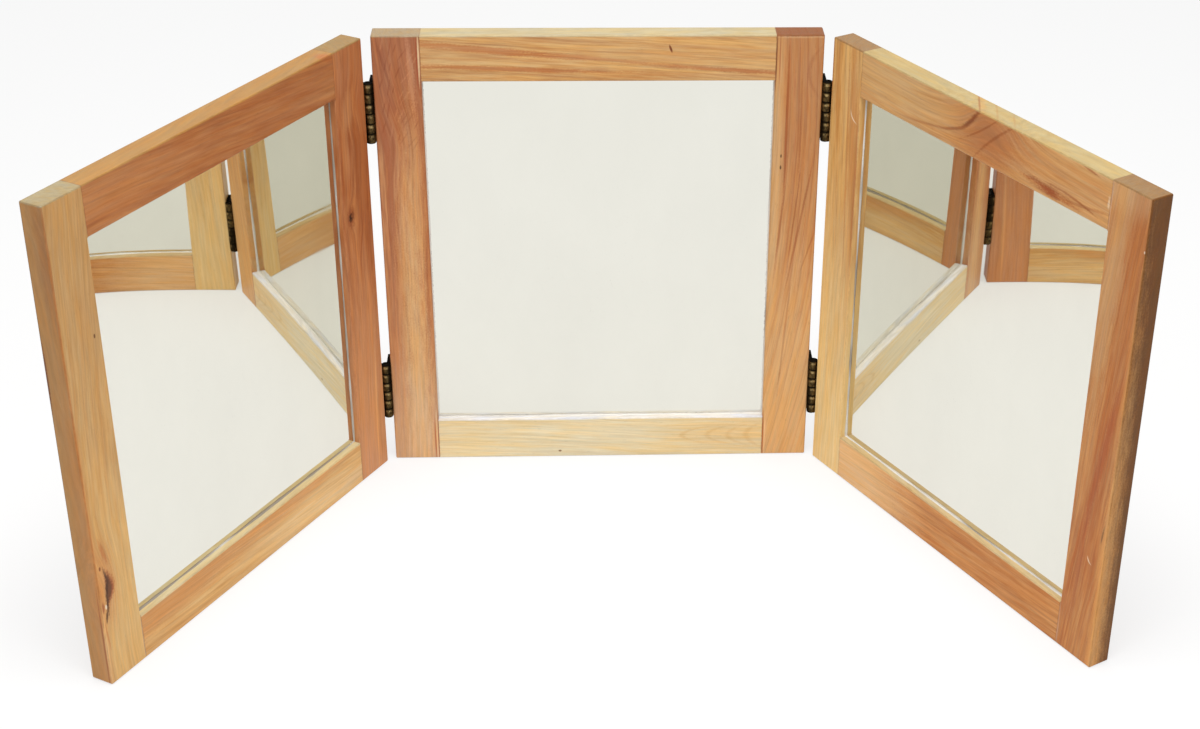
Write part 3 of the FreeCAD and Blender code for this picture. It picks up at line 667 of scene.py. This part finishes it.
finish_board(
    "right_wing_outer_stile", stile("right_wing", False),
    grain(
        (198, 138, 80), (174, 102, 50), (140, 68, 32), 0.48, 0.6, 0.4,
        pith=(90, 20), lean=(0.08, 0), gap=6.0, seed=8.1, waver=9,
    ),
    marks=[
        mark(10, 310, 9, 110, colour(198, 154, 104), 0.65, tilt=3, edge=0.8, fray=1.6),
        mark(19, 384, 40, 14, colour(202, 158, 110), 0.6, edge=0.7),
        mark(30, 290, 9, 110, colour(172, 108, 60), 0.55, edge=0.7, fray=1.2),
        mark(23, 175, 3.4, 62, colour(166, 82, 38), 0.75, tilt=8, edge=0.7, fray=1.6),
        mark(15, 90, 2.2, 50, colour(168, 88, 42), 0.6, tilt=4, fray=1.6),
        mark(33.7, 118, 0.8, 7.5, DARK_KNOT, 0.85, tilt=6, edge=0.4),
        mark(23, 89, 0.6, 3.4, FILLER, 0.65, tilt=-38, bend=0.8, edge=0.4, fray=0.2),
        mark(36.7, 346.5, 0.7, 1.0, FILLER, 0.8, edge=0.3, fray=0.2),
        mark(0.5, 367, 0.8, 20, colour(206, 168, 134), 0.6, fray=1.6),
        mark(0.5, 19, 0.8, 20, colour(196, 152, 116), 0.7, fray=1.2),
        wash(colour(132, 102, 62), 0.9, along=386),
        wash(colour(106, 62, 8), 0.93, across=38),
        mark(38, 30, 4, 200, colour(214, 154, 88), 0.9, edge=0.9, fray=1.2),
    ],
)
finish_board(
    "right_wing_bottom_rail", rail("right_wing", False),
    grain(
        (208, 148, 86), (184, 116, 58), (154, 82, 38), 0.45, 0.75, 0.3,
        pith=(-60, 40), lean=(-0.06, 0), gap=5.5, seed=9.2,
    ),
    marks=[
        mark(20, 268, 40, 75, colour(230, 188, 134), 0.8, tilt=12, edge=0.7),
        mark(28, 115, 4, 50, colour(176, 106, 52), 0.5, tilt=3, fray=1.2),
        wash(colour(194, 172, 128), 0.9, across=38),
    ],
)
finish_board(
    "right_wing_top_rail", rail("right_wing", True),
    grain(
        (212, 166, 110), (186, 128, 76), (150, 80, 40), 0.4, 0.42, 0.18,
        pith=(-50, 20), lean=(0.02, 0), gap=7.0, seed=2.9, waver=9,
    ),
    pushes=[push(46, 126, 30, 40, -22)],
    marks=[
        mark(24, 128, 24, 36, colour(166, 94, 50), 0.68, edge=0.8, fray=1.2),
        mark(27, 176, 11, 24, colour(196, 146, 96), 0.5, tilt=-14, edge=0.7),
        mark(27, 149, 1.7, 14, colour(128, 60, 26), 0.9, tilt=-47, bend=1.2, edge=0.7, fray=1.2),
        mark(14.5, 168, 1.1, 14, colour(140, 70, 32), 0.8, tilt=-21, bend=1, edge=0.7, fray=1.2),
        mark(7, 202, 1.0, 26, colour(158, 84, 42), 0.65, tilt=-9, bend=1, edge=0.7, fray=1.4),
        mark(30, 196, 1.0, 30, colour(166, 96, 52), 0.35, tilt=-5, fray=1.6),
        mark(24, 137, 0.8, 21, colour(146, 76, 36), 0.6, tilt=-36, bend=1, fray=1.4),
        mark(23, 122, 1.0, 24, colour(144, 74, 34), 0.6, tilt=-42, bend=-1.5, edge=0.7, fray=1.6),
        mark(6.5, 60, 2.8, 18, colour(148, 72, 34), 0.95, tilt=4, edge=0.9, fray=2.4),
        mark(10.5, 40, 0.9, 30, colour(152, 80, 40), 0.65, tilt=6, bend=-2.5, fray=1.6),
        mark(3.5, 56, 1.0, 16, colour(146, 72, 34), 0.5, fray=2.0),
        mark(8, 24, 1.2, 22, colour(154, 80, 42), 0.4, tilt=-8, fray=1.6),
        mark(36.5, 24, 0.9, 9, colour(150, 76, 40), 0.6, tilt=10, fray=1.4),
        mark(24, 240, 20, 60, colour(206, 170, 116), 0.5, edge=0.8),
        mark(20, 1.6, 3.6, 1.0, FILLER, 0.5, fray=1.6),
        wash(colour(172, 152, 102), 0.9, across=38),
        mark(38, 149, 2, 15, colour(190, 142, 76), 0.5, back=9.5, deep=3.0, slant=0.79, edge=0.9),
        mark(38, 152, 2, 15, colour(148, 94, 48), 0.75, back=9.5, deep=0.9, slant=0.79, edge=0.7),
        mark(38, 132, 2, 14, colour(166, 124, 70), 0.5, back=9.5, deep=0.9, slant=0.79, edge=0.8),
        mark(38, 113, 2, 13, colour(166, 124, 70), 0.45, back=9.5, deep=0.9, slant=0.79, edge=0.8),
    ],
)


# Dowels: round beech pegs, two in each corner joint, glued into the end of a rail and its stile.
# They are turned smooth and left bare, and no part of them shows once the frame is together.

PEG_RELIEF = 0.0001
peg, tree, shader = new_material("dowel_beech", Roughness=0.6)
point = object_point(tree)
flecks = mottle(tree, point, (1800, 1800, 160), 3.0)
tone = blended(tree, flecks, colour(222, 190, 148), colour(188, 148, 104))
feed(tree, shader, Base_Color=tone, Normal=relief_from(tree, flecks, PEG_RELIEF))
for panel in panel_corners:
    dress(panel + "_dowels", peg)


# Mirror panes: 3 mm sheet glass silvered on the back, laid against the front lip of the rebate.
# Thin glass is never quite flat or even, so each pane dishes a little, and a wing's silver leans
# by up to a degree, which moves what it shows. Round the edge a broken grey band is painted shade,
# standing for the lip's dark reflection inside the glass's edge.

pane_low, pane_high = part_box("centre_mirror")
PANE_START = pane_low - panel_corners["centre"]
PANE_SIZE = pane_high - pane_low
SIGHT_LOW = Vector((STILE_WIDTH, 0, RAIL_WIDTH))
SIGHT_SIZE = Vector((PANEL_WIDTH - 2 * STILE_WIDTH, 0, PANEL_HEIGHT - 2 * RAIL_WIDTH))
PANE_DISH = 0.0008
PANE_GRID = (49, 53)
EDGE_SHADE_REACH = 0.0012
CRUMBLE = 0.0016
EDGE_SHADE_GREY = colour(150, 148, 140)
pane_leans = {"left_wing": (0.0187, 0, -0.0055), "centre": (0, 0, 0), "right_wing": (0.0115, 0, 0)}


def placed(panel, points):
    """Points of a frame, as rows of right, back and up, turned and moved to where the frame stands."""
    turn = np.array(Matrix.Rotation(panel_turns[panel], 3, "Z"))
    return points @ turn.T + np.array(panel_corners[panel])


def add_piece(name, points, faces, material, panel):
    """Makes a closed mesh of points and four-sided faces, and lets it ride with its frame."""
    mesh = bpy.data.meshes.new(name)
    mesh.from_pydata(points.tolist(), [], faces.tolist())
    mesh.polygons.foreach_set("use_smooth", np.ones(len(faces), bool))
    mesh.set_sharp_from_angle(angle=math.radians(40))
    mesh.materials.append(material)
    piece = bpy.data.objects.new(name, mesh)
    bpy.context.scene.collection.objects.link(piece)
    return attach(piece, panel_bodies[panel])


def pane_surface(columns, rows):
    """Two grids over the pane, front and back, joined round the rim.

    The front is set back by the dish times a bowl that is one at the middle and nothing at the
    rim: four times share times the rest, across and up. The back is flat.
    """
    across, up = np.meshgrid(np.linspace(0, 1, columns), np.linspace(0, 1, rows))
    bowl = 16 * across * (1 - across) * up * (1 - up)
    right = PANE_START.x + across * PANE_SIZE.x
    height = PANE_START.z + up * PANE_SIZE.z
    front = np.stack([right, PANE_START.y + PANE_DISH * bowl, height], axis=-1)
    back = np.stack([right, np.full_like(right, PANE_START.y + PANE_SIZE.y), height], axis=-1)
    at = np.arange(rows * columns).reshape(rows, columns)
    cells = np.stack([at[:-1, :-1], at[:-1, 1:], at[1:, 1:], at[1:, :-1]], axis=-1).reshape(-1, 4)
    rim = np.concatenate([at[0, :-1], at[:-1, -1], at[-1, :0:-1], at[:0:-1, 0]])
    ahead = np.roll(rim, -1)
    behind = rows * columns
    wall = np.stack([rim, rim + behind, ahead + behind, ahead], axis=-1)
    points = np.concatenate([front.reshape(-1, 3), back.reshape(-1, 3)])
    return points, np.concatenate([cells, cells[:, ::-1] + behind, wall])


for panel in panel_corners:
    silver, tree, shader = new_material(panel + "_silvered_glass")
    middle = on_panel(panel, *(SIGHT_LOW + SIGHT_SIZE / 2))
    point = object_point(tree, middle, (0, 0, panel_turns[panel]))
    # Painted shade: a broken grey band just inside the sight edge, duller and less metallic, for the
    # lip's dark reflection in the glass edge.
    from_middle = vectors(tree, "ABSOLUTE", point)
    past_edge = vectors(tree, "SUBTRACT", from_middle, tuple(SIGHT_SIZE / 2))
    sides = split(tree, past_edge)
    edge = maths(tree, "MAXIMUM", sides["X"], sides["Z"])
    crumble = around_zero(tree, mottle(tree, point, (420, 420, 420), 3.0, 0.6), CRUMBLE)
    edge_shade = fade(tree, maths(tree, "ADD", edge, crumble), -EDGE_SHADE_REACH, -EDGE_SHADE_REACH / 6)
    smudge = mottle(tree, point, (14, 14, 9), 4.0, 0.6)
    specks = fade(tree, mottle(tree, point, (900, 900, 900), 1.0), 0.72, 0.8)
    tone = blended(tree, smudge, colour(232, 231, 222), colour(225, 224, 215))
    tone = blended(tree, times(tree, specks, 0.12), tone, colour(150, 150, 145))
    tone = blended(tree, edge_shade, tone, EDGE_SHADE_GREY)
    metal = maths(tree, "SUBTRACT", 1.0, times(tree, edge_shade, 0.7))
    film = maths(tree, "MULTIPLY_ADD", fade(tree, smudge, 0.5, 0.8), 0.03, 0.012)
    dullness = maths(tree, "MULTIPLY_ADD", edge_shade, 0.3, film)
    rise = vectors(tree, "DOT_PRODUCT", point, pane_leans[panel])
    leaning = relief_from(tree, rise, 1.0)
    feed(tree, shader, Base_Color=tone, Metallic=metal, Roughness=dullness, Normal=leaning)
    points, faces = pane_surface(*PANE_GRID)
    pane = add_piece(panel + "_silvered_pane", placed(panel, points), faces, silver, panel)
    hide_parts(panel + "_mirror")


# Sealant beads: a thin run of clear sealant in the corner where each pane meets its lip.
# It was laid by hand from the front, so it wanders in width. Where it stayed clear it is painted a
# darker grey, painted shade of the corner behind it, and elsewhere it dried milky, most on the
# centre frame.

BEAD_LEG = 0.0009
BEAD_TURNS = (7, 16, 31, 53, 90)
BEAD_WAVES = (0.2, 0.15, 0.1, 0.06, 0.03)
POOLED_MORE = 0.35
POOL_FALL = 12
BEAD_STEPS = 720
ARC_STEPS = 6
FIRST_SEED = 1.7
clear_shares = {"left_wing": 0.54, "centre": 0.36, "right_wing": 0.46}
HALF_BLEND = 0.14


def bead_surface(steps, arc_steps, seed):
    """A hollow fillet carried round the sight edge and back to its start.

    At each step the fillet's leg is a base size times one plus a few sine waves of whole turns,
    and a third more along the bottom, where the sealant pooled. Its section runs from the corner
    out along the glass, then by a hollow quarter arc up to the lip. A point set in from the lip
    by some distance lies on the sight rectangle drawn smaller by it.
    """
    share = np.arange(steps) / steps
    sizes = np.array([SIGHT_SIZE.x, SIGHT_SIZE.z])
    corners = np.array([[0, 0], [1, 0], [1, 1], [0, 1], [0, 0]]) - 0.5
    reach = np.cumsum([0, sizes[0], sizes[1], sizes[0], sizes[1]]) / (2 * sizes.sum())
    path = np.stack([np.interp(share, reach, corners[:, axis]) for axis in range(2)], axis=-1)
    turns = np.array(BEAD_TURNS)[:, None]
    weights = np.array(BEAD_WAVES)[:, None]
    starts = seed * np.arange(1, 1 + len(BEAD_TURNS))[:, None] ** 2
    waves = weights * np.sin(2 * np.pi * turns * share + starts)
    pooled = 1 + POOLED_MORE * (1 - POOL_FALL * (path[:, 1] + 0.5)).clip(0, 1)
    leg = BEAD_LEG * pooled * (1 + waves.sum(axis=0))
    swing = np.linspace(0, np.pi / 2, arc_steps)
    set_in = np.concatenate([[0.0], 1 - np.sin(swing)])
    stand_out = np.concatenate([[0.0], 1 - np.cos(swing)])
    inset = leg[:, None] * set_in
    middle = np.array([SIGHT_LOW.x, SIGHT_LOW.z]) + sizes / 2
    flat = middle + path[:, None, :] * (sizes - 2 * inset[..., None])
    depth = PANE_START.y - leg[:, None] * stand_out
    points = np.stack([flat[..., 0], depth, flat[..., 1]], axis=-1)
    at = np.arange(points.shape[0] * points.shape[1]).reshape(points.shape[:2])
    onward, across = np.roll(at, -1, axis=0), np.roll(at, -1, axis=1)
    both = np.roll(onward, -1, axis=1)
    return points.reshape(-1, 3), np.stack([at, onward, both, across], axis=-1).reshape(-1, 4)


for number, panel in enumerate(panel_corners):
    sealant, tree, shader = new_material(panel + "_sealant", Specular_IOR_Level=0.5)
    point = object_point(tree)
    cloud = mottle(tree, point, (12, 12, 12), 2.0)
    half_clear = clear_shares[panel]
    milky = fade(tree, cloud, half_clear - HALF_BLEND, half_clear + HALF_BLEND)
    bubbles = fade(tree, mottle(tree, point, (700, 700, 700), 2.0), 0.62, 0.72)
    # Painted shade: where the sealant is clear it is coloured a darker grey for the shaded corner
    # behind it.
    tone = blended(tree, milky, colour(148, 138, 124), colour(218, 214, 206))
    tone = blended(tree, times(tree, bubbles, 0.2), tone, colour(110, 103, 92))
    feed(tree, shader, Base_Color=tone, Roughness=maths(tree, "MULTIPLY_ADD", cloud, 0.2, 0.15))
    points, faces = bead_surface(BEAD_STEPS, ARC_STEPS, FIRST_SEED + number)
    add_piece(panel + "_sealant_bead", placed(panel, points), faces, sealant, panel)


# Backing boards: 3 mm brown hardboard, cut to the rebate and laid rough face out behind the glass.
# The face has a pressed fibre texture and is bare of varnish.

FIBRE_RELIEF = 0.0003
hardboard, tree, shader = new_material("bare_hardboard", Specular_IOR_Level=0.2)
point = object_point(tree)
fibres = mottle(tree, point, (900, 900, 420), 4.0, 0.7)
clouds = mottle(tree, point, (24, 24, 30), 3.0)
tone = blended(tree, fibres, colour(146, 106, 70), colour(96, 64, 40))
stained = times(tree, fade(tree, clouds, 0.4, 0.7), 0.35)
tone = blended(tree, stained, tone, colour(120, 78, 46))
feed(tree, shader, Base_Color=tone, Roughness=maths(tree, "MULTIPLY_ADD", fibres, 0.15, 0.7))
feed(tree, shader, Normal=relief_from(tree, fibres, FIBRE_RELIEF))
for panel in panel_corners:
    dress(panel + "_backing_board", hardboard)


# Glazing points: flat stamped steel tongues driven into the rebate's wall to hold the backing.
# They are bright sheet steel, rolled with fine lines and dulled a little by handling.

point_steel, tree, shader = new_material("stamped_steel", Metallic=1.0)
point = object_point(tree)
rolled = mottle(tree, point, (300, 300, 4000), 3.0)
tone = blended(tree, rolled, colour(206, 206, 202), colour(158, 158, 152))
feed(tree, shader, Base_Color=tone, Roughness=maths(tree, "MULTIPLY_ADD", rolled, 0.2, 0.25))
for panel in panel_corners:
    dress(panel + "_glazing_points", point_steel)


# Hinges: four butt hinges of rolled sheet brass, each two leaves on one pin, chemically darkened
# to an old bronze. Each knuckle is rolled with three beads, and each bead has a painted highlight
# in brass colour on its upper shoulder, stronger on some beads than others. Plates, the top end and
# the side away from a knuckle's own leaf are darkened near to black: painted shade.

BEADS_PER_HINGE = 6
HIGHLIGHT_IN_BEAD = 0.72
BARREL_RADIUS = PIN_SET_OFF
END_CAP = 0.0003
PATINA_RELIEF = 0.0001
HINGE_SPREAD = 40
# Near black: the patina in the grooves between beads, and painted shade.
BLACK_PATINA_AND_SHADE = colour(20, 16, 11)
HIGHLIGHT_BRASS = colour(184, 158, 108)
BROWN_SHEEN = (0.25, 0.2, 0.13, 1)
for side in ("left", "right"):
    pin = pins[side + "_wing"]
    for level in ("lower", "upper"):
        hinge = f"{side}_{level}_hinge"
        knuckles = [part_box(f"{hinge}_{leaf}_leaf") for leaf in ("wing", "centre")]
        bottom = min(low.z for low, high in knuckles)
        height = max(high.z for low, high in knuckles) - bottom
        bronze, tree, shader = new_material(hinge + "_bronze", Metallic=0.9, Specular_Tint=BROWN_SHEEN)
        point = object_point(tree, (pin.x, pin.y, bottom))
        axes = split(tree, point)
        beads_up = times(tree, axes["Z"], BEADS_PER_HINGE / height)
        in_bead = maths(tree, "FRACT", beads_up)
        first_bead = HINGE_SPREAD * (pin.x + bottom)
        bead_number = maths(tree, "ADD", maths(tree, "FLOOR", beads_up), first_bead)
        highlight_share = chance(tree, bead_number)
        off_middle = maths(tree, "ABSOLUTE", maths(tree, "SUBTRACT", in_bead, 0.5))
        off_highlight = maths(tree, "ABSOLUTE", maths(tree, "SUBTRACT", in_bead, HIGHLIGHT_IN_BEAD))
        off_front = maths(tree, "ABSOLUTE", axes["X"])
        patina = mottle(tree, point, (500, 500, 380), 4.0, 0.65)
        # Painted highlight: a brass-coloured spot on the upper shoulder of each bead, toward the front,
        # broken by the patina and stronger on some beads than others.
        painted_highlight = times(tree, fade(tree, off_highlight, 0.18, 0.05), fade(tree, patina, 0.3, 0.6))
        facing = fade(tree, off_front, 0.85 * BARREL_RADIUS, 0.3 * BARREL_RADIUS)
        painted_highlight = times(tree, painted_highlight, facing)
        # Painted shade: the side of each knuckle away from its own leaf, the plates behind the barrel
        # and the barrel's top end are darkened nearly to black.
        upper_or_lower = maths(tree, "SIGN", maths(tree, "SUBTRACT", axes["Z"], height / 2))
        off_leaf = times(tree, axes["X"], upper_or_lower)
        shaded_side = fade(tree, off_leaf, 0.25 * BARREL_RADIUS, 0.65 * BARREL_RADIUS)
        from_pin = vectors(tree, "LENGTH", vectors(tree, "MULTIPLY", point, (1, 1, 0)))
        plate_shade = fade(tree, from_pin, BARREL_RADIUS, 1.2 * BARREL_RADIUS)
        cap_shade = fade(tree, axes["Z"], height - END_CAP, height)
        painted_shade = maths(tree, "MAXIMUM", shaded_side, maths(tree, "MAXIMUM", plate_shade, cap_shade))
        tone = blended(tree, fade(tree, patina, 0.3, 0.7), colour(44, 34, 20), colour(98, 80, 48))
        painted_highlight = times(tree, painted_highlight, maths(tree, "MULTIPLY_ADD", highlight_share, 0.75, 0.25))
        tone = blended(tree, painted_highlight, tone, HIGHLIGHT_BRASS)
        tone = blended(tree, fade(tree, off_middle, 0.36, 0.48), tone, BLACK_PATINA_AND_SHADE)
        tone = blended(tree, times(tree, painted_shade, 0.85), tone, BLACK_PATINA_AND_SHADE)
        dullness = maths(tree, "SUBTRACT", 0.5, times(tree, painted_highlight, 0.16))
        pitted = relief_from(tree, patina, PATINA_RELIEF)
        feed(tree, shader, Base_Color=tone, Roughness=dullness, Normal=pitted)
        for part in ("wing_leaf", "centre_leaf", "pin"):
            dress(f"{hinge}_{part}", bronze)


# Hinge screws: small countersunk cross-head screws, three in each leaf, of the same dark bronze.
# They sit in the gap between two frames, so only their heads are ever seen.

screw_bronze, tree, shader = new_material("screw_bronze", Metallic=0.9)
point = object_point(tree)
patina = mottle(tree, point, (600, 600, 600), 3.0)
tone = blended(tree, patina, colour(70, 56, 36), colour(128, 106, 66))
feed(tree, shader, Base_Color=tone, Roughness=maths(tree, "MULTIPLY_ADD", patina, 0.2, 0.35))
for side in ("left", "right"):
    for part in ("wing", "centre"):
        dress(f"{side}_{part}_hinge_screws", screw_bronze)


# Stage: a plain white floor that keeps a soft shadow, an even white surround, and two soft lamps.
# None of it belongs to the mirror.

WHITE = (1, 1, 1, 1)
FLOOR_HALF = 6.0
FLOOR_DROP = 0.0004
FLOOR_TONE = (0.86, 0.86, 0.855, 1)
FLOOR_LIFT = 0.7
CLEAR_FLOOR = 0.9
LOST_FLOOR = 3.0
SURROUND_LIGHT = 0.55


def shown_rays(tree):
    """One where a ray comes from the camera, a reflection or a see-through surface, else nothing."""
    rays = put(tree, "ShaderNodeLightPath").outputs
    seen = maths(tree, "MAXIMUM", rays["Is Camera Ray"], rays["Is Glossy Ray"])
    return maths(tree, "MAXIMUM", seen, rays["Is Transmission Ray"])


square = np.array([[-1, -1], [1, -1], [1, 1], [-1, 1]]) * FLOOR_HALF
floor_mesh = bpy.data.meshes.new("floor")
floor_points = np.column_stack([square, np.full(len(square), -FLOOR_DROP)])
floor_mesh.from_pydata(floor_points.tolist(), [], [[0, 1, 2, 3]])
floor = bpy.data.objects.new("floor", floor_mesh)
bpy.context.scene.collection.objects.link(floor)
paper, tree, shader = new_material(
    "white_floor", Base_Color=FLOOR_TONE, Roughness=0.9, Specular_IOR_Level=0.1
)
glow = put(tree, "ShaderNodeEmission", {"Color": WHITE, "Strength": 1.0}).outputs[0]
far_off = fade(tree, vectors(tree, "LENGTH", object_point(tree)), CLEAR_FLOOR, LOST_FLOOR)
lifted = times(tree, shown_rays(tree), maths(tree, "MAXIMUM", far_off, FLOOR_LIFT))
surface = put(tree, "ShaderNodeMixShader", {0: lifted, 1: shader.outputs[0], 2: glow})
tree.links.new(surface.outputs[0], tree.nodes["Material Output"].inputs["Surface"])
floor_mesh.materials.append(paper)

world = bpy.data.worlds.new("surround")
bpy.context.scene.world = world
world.use_nodes = True
sky = world.node_tree.nodes["Background"]
sky.inputs["Color"].default_value = WHITE
tree = world.node_tree
even_light = maths(tree, "MULTIPLY_ADD", shown_rays(tree), 1 - SURROUND_LIGHT, SURROUND_LIGHT)
feed(tree, sky, Strength=even_light)


def add_lamp(name, place, aim, size, power):
    """A square soft lamp at a place, turned to face a point."""
    lamp = bpy.data.lights.new(name, "AREA")
    lamp.size = size
    lamp.energy = power
    stand = bpy.data.objects.new(name, lamp)
    stand.location = place
    stand.rotation_euler = (Vector(aim) - Vector(place)).to_track_quat("-Z", "Y").to_euler()
    bpy.context.scene.collection.objects.link(stand)


add_lamp("top_lamp", place=(0, -0.2, 3.2), aim=(0, -0.2, 0), size=2.4, power=44)
add_lamp("inner_lamp", place=(0, -0.6, 1.7), aim=(0, -0.5, 0), size=0.6, power=14)


# Camera: placed by matching the corners of the three frames with where they lie in the picture.
# Its axis is off the picture's middle, so the lens is shifted.

IMAGE_WIDTH = 1200
IMAGE_HEIGHT = 729
FOCAL_PIXELS = 2079.4
AXIS_PIXEL = (683.3, 372.4)
SENSOR_WIDTH = 36.0
CAMERA_PLACE = (-0.01366, -1.55741, 0.9563)
SIGHT_LINE = (0.04738, 0.86989, -0.49097)
RIGHT_LINE = (0.99882, -0.04629, 0.01437)
camera_data = bpy.data.cameras.new("photo_camera")
camera_data.sensor_width = SENSOR_WIDTH
camera_data.lens = FOCAL_PIXELS * SENSOR_WIDTH / IMAGE_WIDTH
camera_data.shift_x = (IMAGE_WIDTH / 2 - AXIS_PIXEL[0]) / IMAGE_WIDTH
camera_data.shift_y = (AXIS_PIXEL[1] - IMAGE_HEIGHT / 2) / IMAGE_WIDTH
camera = bpy.data.objects.new("photo_camera", camera_data)
sight = Vector(SIGHT_LINE).normalized()
rightward = Vector(RIGHT_LINE)
rightward = (rightward - rightward.dot(sight) * sight).normalized()
upward = rightward.cross(sight)
camera_turn = Matrix((rightward, upward, -sight)).transposed()
camera.matrix_world = Matrix.Translation(CAMERA_PLACE) @ camera_turn.to_4x4()
bpy.context.scene.collection.objects.link(camera)
bpy.context.scene.camera = camera
bpy.context.scene.view_settings.view_transform = "Standard"
